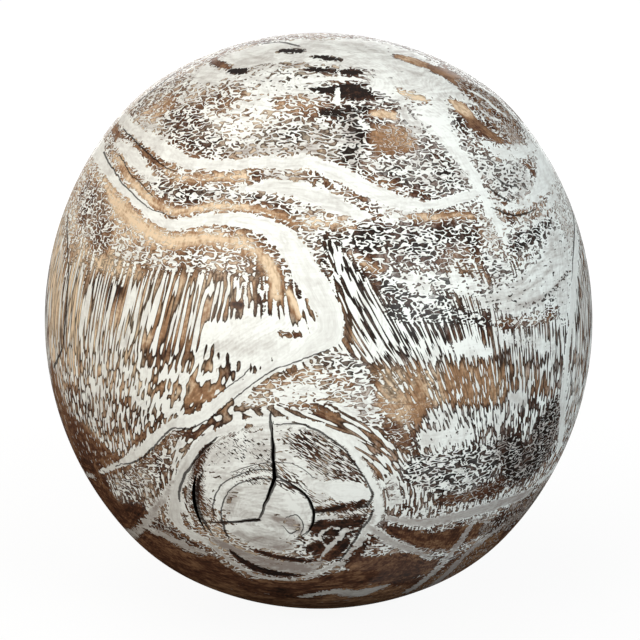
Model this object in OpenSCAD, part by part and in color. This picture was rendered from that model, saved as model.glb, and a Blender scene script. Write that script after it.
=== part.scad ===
// Turned wooden ball, a little taller than it is wide, with a knot low on its front.
// The origin is the centre of the ball. +Z runs up along the grain and -Y faces the front.

/* [Turned form] */
// Width of the ball, across the grain
ball_d = 100; // [80:1:140]
// Height of the ball, along the grain
ball_h = 105; // [84:1:150]
// Radius of the full shoulder between the side and each end
shoulder_r = 36; // [26:0.5:50]
// Angle from the equator at which the side runs into the shoulder
side_angle = 40; // [25:1:45]
// Angle from the equator at which the shoulder runs into the end
end_angle = 60; // [50:1:70]

/* [Knot] */
// Bearing of the knot's heart from the front, positive towards the right
knot_bearing = -10; // [-180:1:180]
// Elevation of the knot's heart from the equator
knot_elevation = -27.5; // [-60:0.5:60]
// Depth of the knot's cracks below the surface at its heart
crack_depth = 6; // [2:0.5:12]

/* [Ring shakes] */
// Radius of the ring that has opened round the heart
heart_ring_r = 7.3; // [4:0.1:12]
// Widest opening of that ring
heart_ring_w = 0.45; // [0.2:0.05:1]
// Bearing in the knot's face at which its opening runs out below the right side
heart_ring_end = -52; // [-100:1:0]
// Radius of the ring that has opened at the knot's left edge
edge_ring_r = 14; // [10:0.5:20]
// Widest opening of the edge ring
edge_ring_w = 0.7; // [0.2:0.05:1]
// Bearing in the knot's face of the middle of the edge ring's opening
edge_ring_bearing = 182; // [120:1:240]
// Half of the angle that the edge ring's opening takes up
edge_ring_half = 30; // [25:1:60]

/* [Drying checks] */
// Bearing in the knot's face at which the checks meet the heart ring
check_start = 82; // [60:1:120]
// Length of the check that runs up the grain from the top of the heart ring
upper_check_l = 13; // [4:0.5:16]
// Width of the upper check at its root
upper_check_w = 0.7; // [0.2:0.05:1.2]
// Length of the check that runs down across the heart
heart_check_l = 9.5; // [4:0.5:12]
// Width of the heart check at its root
heart_check_w = 0.65; // [0.2:0.05:1.2]
// Bearing in the knot's face along which the heart check runs
heart_check_bearing = 249; // [225:1:270]
// Length of the check that runs out to the left from the end of the heart check
left_check_l = 9.5; // [3:0.5:14]
// Width of the left check at its root
left_check_w = 0.6; // [0.2:0.05:1.2]
// Bearing in the knot's face along which the left check runs
left_check_bearing = 196; // [150:1:215]

/* [Hidden] */
$fn = 96;

half_d = ball_d / 2;
half_h = ball_h / 2;
// Longer than any radius of the ball, for clipping shapes
beyond = ball_d + ball_h;

// The side, shoulder and end arcs are tangent to each other where they meet.
// Their radii are the shoulder's and these two differences, found from the two half sizes.
across = half_d - shoulder_r;
along = half_h - shoulder_r;
side_x = 1 - cos(side_angle);
side_z = sin(side_angle);
end_x = cos(end_angle);
end_z = 1 - sin(end_angle);
determinant = side_x * end_z - end_x * side_z;
side_extra = (across * end_z - along * end_x) / determinant;
end_extra = (along * side_x - across * side_z) / determinant;

side_r = shoulder_r + side_extra;
end_r = shoulder_r + end_extra;
side_centre = [half_d - side_r, 0];
shoulder_centre = side_centre + side_extra * direction(side_angle);
end_centre = [0, half_h - end_r];
side_meet = side_centre + side_r * direction(side_angle);
end_meet = end_centre + end_r * direction(end_angle);

function direction(angle) = [cos(angle), sin(angle)];

// Distance from the ball's centre to an arc, along a ray at an elevation
function reach(centre, radius, elevation) =
    let (near = centre * direction(elevation))
    near + sqrt(radius * radius - centre * centre + near * near);

function surface_r(elevation) =
    elevation < atan2(side_meet.y, side_meet.x) ? reach(side_centre, side_r, elevation)
    : elevation < atan2(end_meet.y, end_meet.x) ? reach(shoulder_centre, shoulder_r, elevation)
    : reach(end_centre, end_r, elevation);

heart_r = surface_r(abs(knot_elevation));
heart_top = heart_ring_r * direction(check_start);
heart_check_tip = heart_top + heart_check_l * direction(heart_check_bearing);

// The part of a circle that lies beyond the chord from one point to another
module arc_segment(centre, radius, from, to) {
    chord = to - from;
    outward = beyond * [chord.y, -chord.x] / norm(chord);
    intersection() {
        translate(centre) circle(r = radius);
        polygon([from, from + outward, to + outward, to]);
    }
}

// Half of the ball's section, on the right of its axis
module half_section() {
    upper = [side_meet, end_meet, [0, end_meet.y]];
    lower = [for (i = [len(upper) - 1 : -1 : 0]) [upper[i].x, -upper[i].y]];
    polygon(concat(upper, lower));
    arc_segment(side_centre, side_r, lower[len(lower) - 1], side_meet);
    for (side = [0, 1]) mirror([0, side]) {
        arc_segment(shoulder_centre, shoulder_r, side_meet, end_meet);
        intersection() {
            arc_segment(end_centre, end_r, end_meet, [-end_meet.x, end_meet.y]);
            square(beyond);
        }
    }
}

module turned_form() {
    rotate_extrude() half_section();
}

// Drying check from a round root to a sharp tip
module check(root, bearing, length, width) {
    translate(root) rotate(bearing) {
        circle(d = width);
        polygon([[0, -width / 2], [length, 0], [0, width / 2]]);
    }
}

// Crescent that a growth ring leaves where it has come apart
module ring_shake(radius, width, bearing, half) {
    inner = radius - width;
    shift = (radius * radius - inner * inner) / (2 * (inner - radius * cos(half)));
    rotate(bearing) difference() {
        circle(r = radius);
        translate([-shift, 0]) circle(r = inner + shift);
    }
}

// All the cracks as they lie in the knot's face, with its heart at the origin
module crack_pattern() {
    ring_shake(heart_ring_r, heart_ring_w,
        (check_start + heart_ring_end) / 2, (check_start - heart_ring_end) / 2);
    ring_shake(edge_ring_r, edge_ring_w, edge_ring_bearing, edge_ring_half);
    check(heart_top, 90, upper_check_l, upper_check_w);
    check(heart_top, heart_check_bearing, heart_check_l, heart_check_w);
    check(heart_check_tip, left_check_bearing, left_check_l, left_check_w);
}

// Places its children on the knot's face: X to the right, Y up the grain, Z out of the ball
module at_knot() {
    rotate([0, 0, knot_bearing]) rotate([90 - knot_elevation, 0, 0])
        translate([0, 0, heart_r]) children();
}

module ball() {
    color([0.62, 0.54, 0.46]) difference() {
        turned_form();
        at_knot() translate([0, 0, -crack_depth])
            linear_extrude(height = beyond) crack_pattern();
    }
}

ball();
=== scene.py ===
"""A limewashed wooden ball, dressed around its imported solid."""

import math

import bmesh
import bpy
import numpy as np
from mathutils import Matrix, Vector, noise


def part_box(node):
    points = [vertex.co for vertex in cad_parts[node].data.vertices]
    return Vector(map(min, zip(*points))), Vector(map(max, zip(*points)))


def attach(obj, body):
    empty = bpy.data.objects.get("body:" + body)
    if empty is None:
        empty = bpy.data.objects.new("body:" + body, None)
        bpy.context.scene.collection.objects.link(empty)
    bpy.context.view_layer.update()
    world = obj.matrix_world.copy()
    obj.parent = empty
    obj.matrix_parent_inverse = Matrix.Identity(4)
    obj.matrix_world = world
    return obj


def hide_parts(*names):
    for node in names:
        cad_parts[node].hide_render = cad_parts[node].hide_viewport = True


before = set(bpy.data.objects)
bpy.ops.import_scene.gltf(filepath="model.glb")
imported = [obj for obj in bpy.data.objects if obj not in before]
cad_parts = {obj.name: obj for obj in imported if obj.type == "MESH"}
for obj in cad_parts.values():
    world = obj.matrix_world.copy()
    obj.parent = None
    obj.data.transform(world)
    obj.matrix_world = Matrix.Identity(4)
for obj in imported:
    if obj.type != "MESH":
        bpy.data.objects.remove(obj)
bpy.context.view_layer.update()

# Viewpoint
# A long lens a little above the ball's middle, placed so that the ball fills the photograph's frame.
# The same values carry points that were read off the photograph back onto the ball's surface.
MM = 0.001
FRAME_PX = 640
VIEW_ELEVATION = math.radians(12)
VIEW_DISTANCE = 420 * MM
LENS_MM = 128.5
SENSOR_MM = 36.0
BALL_CENTRE_PX = (318.6, 320.6)

focal_px = FRAME_PX * LENS_MM / SENSOR_MM
view_ahead = np.array([0.0, math.cos(VIEW_ELEVATION), -math.sin(VIEW_ELEVATION)])
view_right = np.array([1.0, 0.0, 0.0])
view_up = np.array([0.0, math.sin(VIEW_ELEVATION), math.cos(VIEW_ELEVATION)])
pixel_size = VIEW_DISTANCE / focal_px
aside = (FRAME_PX / 2 - BALL_CENTRE_PX[0]) * pixel_size
above = (BALL_CENTRE_PX[1] - FRAME_PX / 2) * pixel_size
eye = view_right * aside + view_up * above - view_ahead * VIEW_DISTANCE

camera = bpy.data.objects.new("camera", bpy.data.cameras.new("camera"))
camera.data.lens = LENS_MM
camera.data.sensor_width = SENSOR_MM
camera.matrix_world = Matrix([
    [view_right[i], view_up[i], -view_ahead[i], eye[i]] for i in range(3)
] + [[0, 0, 0, 1]])
bpy.context.scene.collection.objects.link(camera)
bpy.context.scene.camera = camera


# Ball: turned form
# The real ball is one block of knotty hardwood, turned about the grain and sanded by hand.
# Its side, shoulder and end are three arcs that run into each other, so it is a little taller
# than wide and slightly square-shouldered. A node tree blows a cube grid out to that form.
SHOULDER_RADIUS = 36 * MM
SIDE_ANGLE = math.radians(40)
END_ANGLE = math.radians(60)
GRID_CELLS = 124
FRONT_CROWDING = 0.55
POLE_GUARD = 1e-5
LEAST_FLANK = 1e-6

ball_low, ball_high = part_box("ball")
half_width = (ball_high.x - ball_low.x) / 2
half_height = (ball_high.z - ball_low.z) / 2
tangent_rows = np.array([
    [1 - math.cos(SIDE_ANGLE), math.cos(END_ANGLE)],
    [math.sin(SIDE_ANGLE), 1 - math.sin(END_ANGLE)],
])
side_extra, end_extra = np.linalg.solve(
    tangent_rows, [half_width - SHOULDER_RADIUS, half_height - SHOULDER_RADIUS])
side_radius = SHOULDER_RADIUS + side_extra
end_radius = SHOULDER_RADIUS + end_extra
side_x = half_width - side_radius
shoulder_x = side_x + side_extra * math.cos(SIDE_ANGLE)
shoulder_z = side_extra * math.sin(SIDE_ANGLE)
end_z = half_height - end_radius
side_meets_shoulder = math.atan2(side_radius * math.sin(SIDE_ANGLE),
                                 side_x + side_radius * math.cos(SIDE_ANGLE))
shoulder_meets_end = math.atan2(end_z + end_radius * math.sin(END_ANGLE),
                                end_radius * math.cos(END_ANGLE))


def turned_radius(elevation):
    """Distance from the ball's centre to its surface at an elevation, in metres."""
    level = np.abs(elevation)

    def to_arc(x, z, radius):
        near = x * np.cos(level) + z * np.sin(level)
        return near + np.sqrt(radius ** 2 - x ** 2 - z ** 2 + near ** 2)

    side = to_arc(side_x, 0, side_radius)
    shoulder = to_arc(shoulder_x, shoulder_z, SHOULDER_RADIUS)
    end = to_arc(0, end_z, end_radius)
    return np.where(level < side_meets_shoulder, side, np.where(level < shoulder_meets_end, shoulder, end))


class Wire:
    """A node's output that sums and products can be written with."""

    def __init__(self, socket):
        self.socket = socket
        self.tree = socket.id_data

    def math(self, operation, *others):
        return add_node(self.tree, "ShaderNodeMath", self, *others, operation=operation)

    def vector(self, operation, *others, out=0):
        return add_node(self.tree, "ShaderNodeVectorMath", self, *others, out=out, operation=operation)

    def __add__(self, other):
        return self.math("ADD", other)

    def __sub__(self, other):
        return self.math("SUBTRACT", other)

    def __rsub__(self, other):
        return add_node(self.tree, "ShaderNodeMath", other, self, operation="SUBTRACT")

    def __mul__(self, other):
        return self.math("MULTIPLY", other)

    def __truediv__(self, other):
        return self.math("DIVIDE", other)

    __radd__ = __add__
    __rmul__ = __mul__

    def parts(self):
        node = self.tree.nodes.new("ShaderNodeSeparateXYZ")
        self.tree.links.new(self.socket, node.inputs[0])
        return [Wire(output) for output in node.outputs]


def add_node(tree, kind, *values, out=0, **settings):
    """Adds a node, wires or sets its inputs in order, and gives back one output."""
    node = tree.nodes.new(kind)
    for key, value in settings.items():
        setattr(node, key, value)
    for target, value in zip(node.inputs, values):
        plug(tree, target, value)
    return Wire(node.outputs[out])


def plug(tree, target, value):
    if isinstance(value, Wire):
        tree.links.new(value.socket, target)
    elif value is not None:
        target.default_value = value


def combine(tree, x, y, z):
    return add_node(tree, "ShaderNodeCombineXYZ", x, y, z)


def turned_form_tree():
    """Cube grid, crowded towards the front, then blown out to the three arcs."""
    tree = bpy.data.node_groups.new("turned form", "GeometryNodeTree")
    tree.interface.new_socket(name="Geometry", in_out="OUTPUT", socket_type="NodeSocketGeometry")
    sizes = {
        "Side Radius": side_radius, "Side X": side_x,
        "Shoulder Radius": SHOULDER_RADIUS, "Shoulder X": shoulder_x, "Shoulder Z": shoulder_z,
        "End Radius": end_radius, "End Z": end_z,
        "Side Meets Shoulder": side_meets_shoulder, "Shoulder Meets End": shoulder_meets_end,
        "Front Crowding": FRONT_CROWDING,
    }
    for name in sizes:
        tree.interface.new_socket(name=name, in_out="INPUT", socket_type="NodeSocketFloat")
    tree.interface.new_socket(name="Grid Points", in_out="INPUT", socket_type="NodeSocketInt")
    tree.interface.new_socket(name="Finish", in_out="INPUT", socket_type="NodeSocketMaterial")
    entry = tree.nodes.new("NodeGroupInput")
    given = {output.name: Wire(output) for output in entry.outputs if output.name}

    points = given["Grid Points"]
    grid = add_node(tree, "GeometryNodeMeshCube", (2, 2, 2), points, points, points)

    # Even out the cube's corners, then draw the grid towards the front by a stereographic scale
    quarter = math.pi / 4
    position = add_node(tree, "GeometryNodeInputPosition")
    x, y, z = [(axis * quarter).math("TANGENT") for axis in position.parts()]
    even = combine(tree, x, y, z).vector("NORMALIZE")
    x, y, z = even.parts()
    front = y * -1.0
    tangent = ((1.0 - front) / (1.0 + POLE_GUARD + front)).math("SQRT") * given["Front Crowding"]
    square = tangent * tangent
    new_front = (1.0 - square) / (1.0 + square)
    new_side = (2.0 * tangent) / (1.0 + square)
    flank = (x * x + z * z).math("SQRT").math("MAXIMUM", LEAST_FLANK)
    x = x / flank * new_side
    z = z / flank * new_side
    y = new_front * -1.0

    # Distance to each arc along the point's elevation, and the arc that holds there
    level_sin = z.math("ABSOLUTE").math("MINIMUM", 1.0)
    level = level_sin.math("ARCSINE")
    level_cos = level.math("COSINE")

    def to_arc(arc_x, arc_z, radius):
        near = level_cos * arc_x + level_sin * arc_z
        offset = arc_x * arc_x + arc_z * arc_z
        return near + (radius * radius - offset + near * near).math("SQRT")

    nil = level * 0.0
    side = to_arc(given["Side X"], nil, given["Side Radius"])
    shoulder = to_arc(given["Shoulder X"], given["Shoulder Z"], given["Shoulder Radius"])
    end = to_arc(nil, given["End Z"], given["End Radius"])
    on_side = level.math("LESS_THAN", given["Side Meets Shoulder"])
    on_end = level.math("GREATER_THAN", given["Shoulder Meets End"])
    reach = side * on_side + end * on_end + shoulder * (1.0 - on_side) * (1.0 - on_end)
    place = combine(tree, x, y, z).vector("SCALE")
    plug(tree, place.socket.node.inputs["Scale"], reach)

    placed = add_node(tree, "GeometryNodeSetPosition", grid, None, place)
    smooth = add_node(tree, "GeometryNodeSetShadeSmooth", placed)
    real = add_node(tree, "GeometryNodeRealizeInstances", smooth)
    finished = add_node(tree, "GeometryNodeSetMaterial", real, None, given["Finish"])
    leave = tree.nodes.new("NodeGroupOutput")
    tree.links.new(finished.socket, leave.inputs[0])
    return tree, sizes


def plain_mesh(piece):
    """The piece's mesh with its modifiers worked out and taken off."""
    shown = piece.evaluated_get(bpy.context.evaluated_depsgraph_get())
    mesh = bpy.data.meshes.new_from_object(shown)
    piece.modifiers.clear()
    piece.data = mesh
    return mesh


limewashed_wood = bpy.data.materials.new("limewashed wood")
ball = bpy.data.objects.new("turned_ball", bpy.data.meshes.new("turned_ball"))
bpy.context.scene.collection.objects.link(ball)
form_tree, form_sizes = turned_form_tree()
turning = ball.modifiers.new("turning", "NODES")
turning.node_group = form_tree
socket_ids = {item.name: item.identifier for item in form_tree.interface.items_tree}
for size_name, size in form_sizes.items():
    turning[socket_ids[size_name]] = float(size)
turning[socket_ids["Grid Points"]] = GRID_CELLS + 1
turning[socket_ids["Finish"]] = limewashed_wood
plain_mesh(ball)


# Ball: cracks in the knot
# The big knot on the front has dried faster than the wood round it. Two of its rings have sprung
# apart and three checks run across them, a few millimetres deep. Each is cut out as a thin prism.
KNOT_BEARING = math.radians(-10)
KNOT_ELEVATION = math.radians(-27.5)
CRACK_DEPTH = 6
CRACK_CLEARANCE = 8
HEART_RING = dict(radius=7.3, width=0.45, start=-52, stop=82)
EDGE_RING = dict(radius=14, width=0.7, start=152, stop=212)
CHECK_START = math.radians(82)
UPPER_CHECK = dict(bearing=90, length=13, width=0.7)
HEART_CHECK = dict(bearing=249, length=9.5, width=0.65)
LEFT_CHECK = dict(bearing=196, length=9.5, width=0.6)
CRACK_WANDER = 0.16
WANDER_WAVES = ((1.0, 1.9), (0.6, 0.7))
ROOT_TURNS = (2.1, 2.6, 3.1, 3.7, 4.2)
CHECK_STEPS = 16
SHAKE_STEPS = 40
WELD_GAP = 0.002 * MM
SHARP_ANGLE = math.radians(40)

knot_right = np.array([math.cos(KNOT_BEARING), math.sin(KNOT_BEARING), 0.0])
knot_out = np.array([
    math.sin(KNOT_BEARING) * math.cos(KNOT_ELEVATION),
    -math.cos(KNOT_BEARING) * math.cos(KNOT_ELEVATION),
    math.sin(KNOT_ELEVATION),
])
knot_up = np.cross(knot_out, knot_right)
heart_out = float(turned_radius(KNOT_ELEVATION)) / MM


def towards(angle):
    return np.array([math.cos(angle), math.sin(angle)])


def check_middle(root, bearing, length, step):
    """A point on a drying check's middle line, which wanders a little across the grain."""
    ahead = towards(math.radians(bearing))
    across = np.array([-ahead[1], ahead[0]])
    wave = sum(share * math.sin(rate * length * step) for share, rate in WANDER_WAVES)
    return root + ahead * length * step + across * (CRACK_WANDER * step * wave)


def check_outline(root, bearing, length, width):
    """A drying check from a round root to a sharp tip."""
    ahead = towards(math.radians(bearing))
    across = np.array([-ahead[1], ahead[0]])
    right_edge = []
    left_edge = []
    for step in np.linspace(0, 1, CHECK_STEPS)[:-1]:
        middle = check_middle(root, bearing, length, step)
        half = width / 2 * (1 - step)
        right_edge.append(middle - across * half)
        left_edge.append(middle + across * half)
    cap = [root + width / 2 * towards(math.radians(bearing) + turn) for turn in ROOT_TURNS]
    tip = check_middle(root, bearing, length, 1)
    return right_edge + [tip] + left_edge[::-1] + cap


def shake_outline(radius, width, start, stop):
    """The crescent that a growth ring leaves where it has come apart."""
    turns = np.linspace(0, 1, SHAKE_STEPS)
    angles = np.radians(start + (stop - start) * turns)
    outer = [radius * towards(angle) for angle in angles]
    gaps = width * 4 * turns * (1 - turns)
    inner = [(radius - gap) * towards(angle) for gap, angle in zip(gaps, angles)]
    return outer + inner[-2:0:-1]


def add_prism(vertices, faces, outline):
    """Extrudes an outline in the knot's face from the crack's floor to clear of the ball."""
    first = len(vertices)
    count = len(outline)
    for out in (heart_out - CRACK_DEPTH, heart_out + CRACK_CLEARANCE):
        for x, y in outline:
            vertices.append(tuple((knot_right * x + knot_up * y + knot_out * out) * MM))
    faces.append([first + i for i in reversed(range(count))])
    faces.append([first + count + i for i in range(count)])
    for i in range(count):
        following = (i + 1) % count
        faces.append([first + i, first + following, first + count + following, first + count + i])


heart_top = HEART_RING["radius"] * towards(CHECK_START)
heart_end = heart_top + HEART_CHECK["length"] * towards(math.radians(HEART_CHECK["bearing"]))
crack_outlines = [
    shake_outline(**HEART_RING),
    shake_outline(**EDGE_RING),
    check_outline(heart_top, **UPPER_CHECK),
    check_outline(heart_top, **HEART_CHECK),
    check_outline(heart_end, **LEFT_CHECK),
]
for crack_outline in crack_outlines:
    prism_vertices = []
    prism_faces = []
    add_prism(prism_vertices, prism_faces, crack_outline)
    prism_mesh = bpy.data.meshes.new("crack")
    prism_mesh.from_pydata(prism_vertices, [], prism_faces)
    prism_mesh.materials.append(limewashed_wood)
    prism = bpy.data.objects.new("crack", prism_mesh)
    bpy.context.scene.collection.objects.link(prism)
    cutting = ball.modifiers.new("crack", "BOOLEAN")
    cutting.operation = "DIFFERENCE"
    cutting.solver = "EXACT"
    cutting.object = prism
    plain_mesh(ball)
    bpy.data.objects.remove(prism)
sealed = bmesh.new()
sealed.from_mesh(ball.data)
bmesh.ops.remove_doubles(sealed, verts=sealed.verts, dist=WELD_GAP)
bmesh.ops.holes_fill(sealed, edges=[edge for edge in sealed.edges if edge.is_boundary], sides=4)
sealed.to_mesh(ball.data)
sealed.free()
ball.data.set_sharp_from_angle(angle=SHARP_ANGLE)


# Ball: figure of the grain and the lime
# White lime was rubbed into the open grain and wiped off the plain wood. It fills whole bands where
# soft early wood runs, and lies in short worms elsewhere. The bands are strokes read off the
# photograph and carried onto the surface, where they become distances stored with the mesh.
MEAN_RADIUS = 51.0
STROKE_STEP = 0.35
FAR_AWAY = 9.0
LIMB_WIDENING = 4.0
FIBRE_AXIS = np.array([0.03, 0.04, 1.0]) / np.linalg.norm([0.03, 0.04, 1.0])
KNOT_PUSH_RADIUS = 16.0
KNOT_PUSH_FLOOR = 12.0
KNOT_PUSH_SHARE = 0.6
KNOT_FACE_RADIUS = 16.5
KNOT_FACE_SHIFT = 1.8
KNOT_FACE_SLOPE = math.radians(-40)
KNOT_FACE_FINENESS = 2.8
FIBRE_LEANS = ((-0.12, -30.0, 14.0), (0.5, 13.0, 17.0))
LEAN_TOP = 14.0
LEAN_RANGE = (-10.0, 32.0)
EDGE_WOBBLES = ((0.006, 11.0, 1.7), (0.0035, 29.0, 9.0))
AIM_ROUNDS = 8
BATCH_VERTICES = 12000
NOISE_SEED = 7

vertex_count = len(ball.data.vertices)
places = np.empty(vertex_count * 3)
ball.data.vertices.foreach_get("co", places)
places = places.reshape(-1, 3) / MM
reaches = np.linalg.norm(places, axis=1)
aims = places / reaches[:, None]
elevations = np.arcsin(np.clip(aims[:, 2], -1, 1))


# Without a seed of its own, this noise is shifted by the clock and differs in each run
noise.seed_set(NOISE_SEED)


def noise_at(points, frequency, seed):
    """Smooth noise vectors, one for each point."""
    shifted = points * frequency + seed
    return np.array([noise.noise_vector(point) for point in shifted])


wobbled = aims.copy()
for amount, frequency, seed in EDGE_WOBBLES:
    wobbled += amount * noise_at(aims, frequency, seed)
wobbled /= np.linalg.norm(wobbled, axis=1)[:, None]
wobbled = wobbled.astype(np.float32)


def surface_aim(x, y):
    """Direction from the ball's centre to the surface seen at a pixel, or to the rim beyond it."""
    ray = view_ahead * focal_px + view_right * (x - FRAME_PX / 2) + view_up * (FRAME_PX / 2 - y)
    ray = ray / np.linalg.norm(ray)
    nearest = eye - ray * (eye @ ray)
    radius = half_width
    for _ in range(AIM_ROUNDS):
        depth = math.sqrt(max(radius ** 2 - nearest @ nearest, 0))
        point = nearest - ray * depth
        radius = float(turned_radius(math.asin(point[2] / np.linalg.norm(point))))
    return point / np.linalg.norm(point)


def seen(*marks):
    """A route from marks on the photograph: x, y and width in pixels."""
    spots = np.array([mark[:2] for mark in marks], float)
    runs = np.gradient(spots, axis=0)
    route = []
    for (x, y), (run_x, run_y), mark in zip(spots, runs, marks):
        half = mark[2] / 2 / max(math.hypot(run_x, run_y), 1e-6)
        one_edge = surface_aim(x - run_y * half, y + run_x * half)
        other_edge = surface_aim(x + run_y * half, y - run_x * half)
        span = MEAN_RADIUS * np.linalg.norm(one_edge - other_edge)
        plain_span = mark[2] * pixel_size / MM
        route.append((surface_aim(x, y), min(span, LIMB_WIDENING * plain_span)))
    return route


def unseen(*marks):
    """A route from marks on the hidden sides: bearing and elevation in degrees, width in millimetres."""
    route = []
    for bearing, elevation, width in marks:
        turn = math.radians(bearing)
        rise = math.radians(elevation)
        aim = np.array([math.sin(turn) * math.cos(rise), -math.cos(turn) * math.cos(rise), math.sin(rise)])
        route.append((aim, width))
    return route


def in_knot(x, y, width):
    """A mark in the knot's face, in millimetres from its heart."""
    point = knot_right * x + knot_up * y + knot_out * heart_out
    return point / np.linalg.norm(point), width


def dense_route(route):
    """A smooth curve through a route's marks, as closely spaced directions and widths."""
    marks = np.array([[*aim, width] for aim, width in route])
    ends = np.vstack([2 * marks[0] - marks[1], marks, 2 * marks[-1] - marks[-2]])
    pieces = []
    for before, start, stop, after in zip(ends, ends[1:], ends[2:], ends[3:]):
        steps = max(2, int(MEAN_RADIUS * np.linalg.norm(stop[:3] - start[:3]) / STROKE_STEP))
        t = np.linspace(0, 1, steps, endpoint=False)[:, None]
        pieces.append(0.5 * (2 * start + (stop - before) * t
                             + (2 * before - 5 * start + 4 * stop - after) * t ** 2
                             + (3 * start - before - 3 * stop + after) * t ** 3))
    curve = np.vstack(pieces + [marks[-1:]])
    curve[:, :3] /= np.linalg.norm(curve[:, :3], axis=1)[:, None]
    return curve


def near_curve(route):
    """Vertices near a route, with their distance from it, its half width there and their side of it."""
    curve = dense_route(route)
    middle = curve[:, :3].mean(axis=0)
    middle /= np.linalg.norm(middle)
    extent = np.arccos(np.clip(curve[:, :3] @ middle, -1, 1)).max()
    reach = extent + (FAR_AWAY + curve[:, 3].max()) / MEAN_RADIUS
    near = np.flatnonzero(wobbled @ middle.astype(np.float32) > math.cos(min(reach, math.pi)))
    tangents = np.gradient(curve[:, :3], axis=0)
    normals = np.cross(tangents, curve[:, :3])
    away = np.empty(len(near))
    half = np.empty(len(near))
    side = np.empty(len(near))
    for batch in np.array_split(np.arange(len(near)), len(near) // BATCH_VERTICES + 1):
        looks = wobbled[near[batch]]
        cosines = looks @ curve[:, :3].T.astype(np.float32)
        closest = cosines.argmax(axis=1)
        away[batch] = np.arccos(np.clip(cosines[np.arange(len(batch)), closest], -1, 1)) * MEAN_RADIUS
        half[batch] = curve[closest, 3] / 2
        side[batch] = np.sign(np.einsum("ij,ij->i", looks - curve[closest, :3], normals[closest]))
    return near, away, half, side


def edge_distance(route):
    """Millimetres from each vertex to a stroke's edge, negative inside the stroke."""
    near, away, half, _ = near_curve(route)
    distance = np.full(vertex_count, FAR_AWAY)
    distance[near] = np.minimum(away - half, FAR_AWAY)
    return distance


def nearest_band(bands):
    """Distance to the nearest band's edge, how frayed that band is, and how grey its lime is from soil and,
    on bands low on the ball, painted shade.
    """
    distance = np.full(vertex_count, FAR_AWAY)
    fraying = np.zeros(vertex_count)
    soil_and_shade = np.zeros(vertex_count)
    for band_fraying, band_soil_and_shade, route in bands.values():
        here = edge_distance(route)
        closer = here < distance
        distance[closer] = here[closer]
        fraying[closer] = band_fraying
        soil_and_shade[closer] = band_soil_and_shade
    return distance, fraying, soil_and_shade


def nearest_line(strokes):
    """Distance to the nearest line, and the offset across it in half widths, signed by side.

    The sign lets a line thinner than the mesh's spacing stay sharp."""
    distance = np.full(vertex_count, FAR_AWAY)
    offset = np.full(vertex_count, FAR_AWAY)
    for route in strokes.values():
        near, away, half, side = near_curve(route)
        closer = away < distance[near]
        chosen = near[closer]
        distance[chosen] = away[closer]
        offset[chosen] = np.clip(away[closer] / half[closer], 0, FAR_AWAY) * side[closer]
    return distance, offset


# Each band: how frayed, how grey its lime is, and its route. The grey is soil, and on the bands low on the
# ball painted shade as well.
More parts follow.
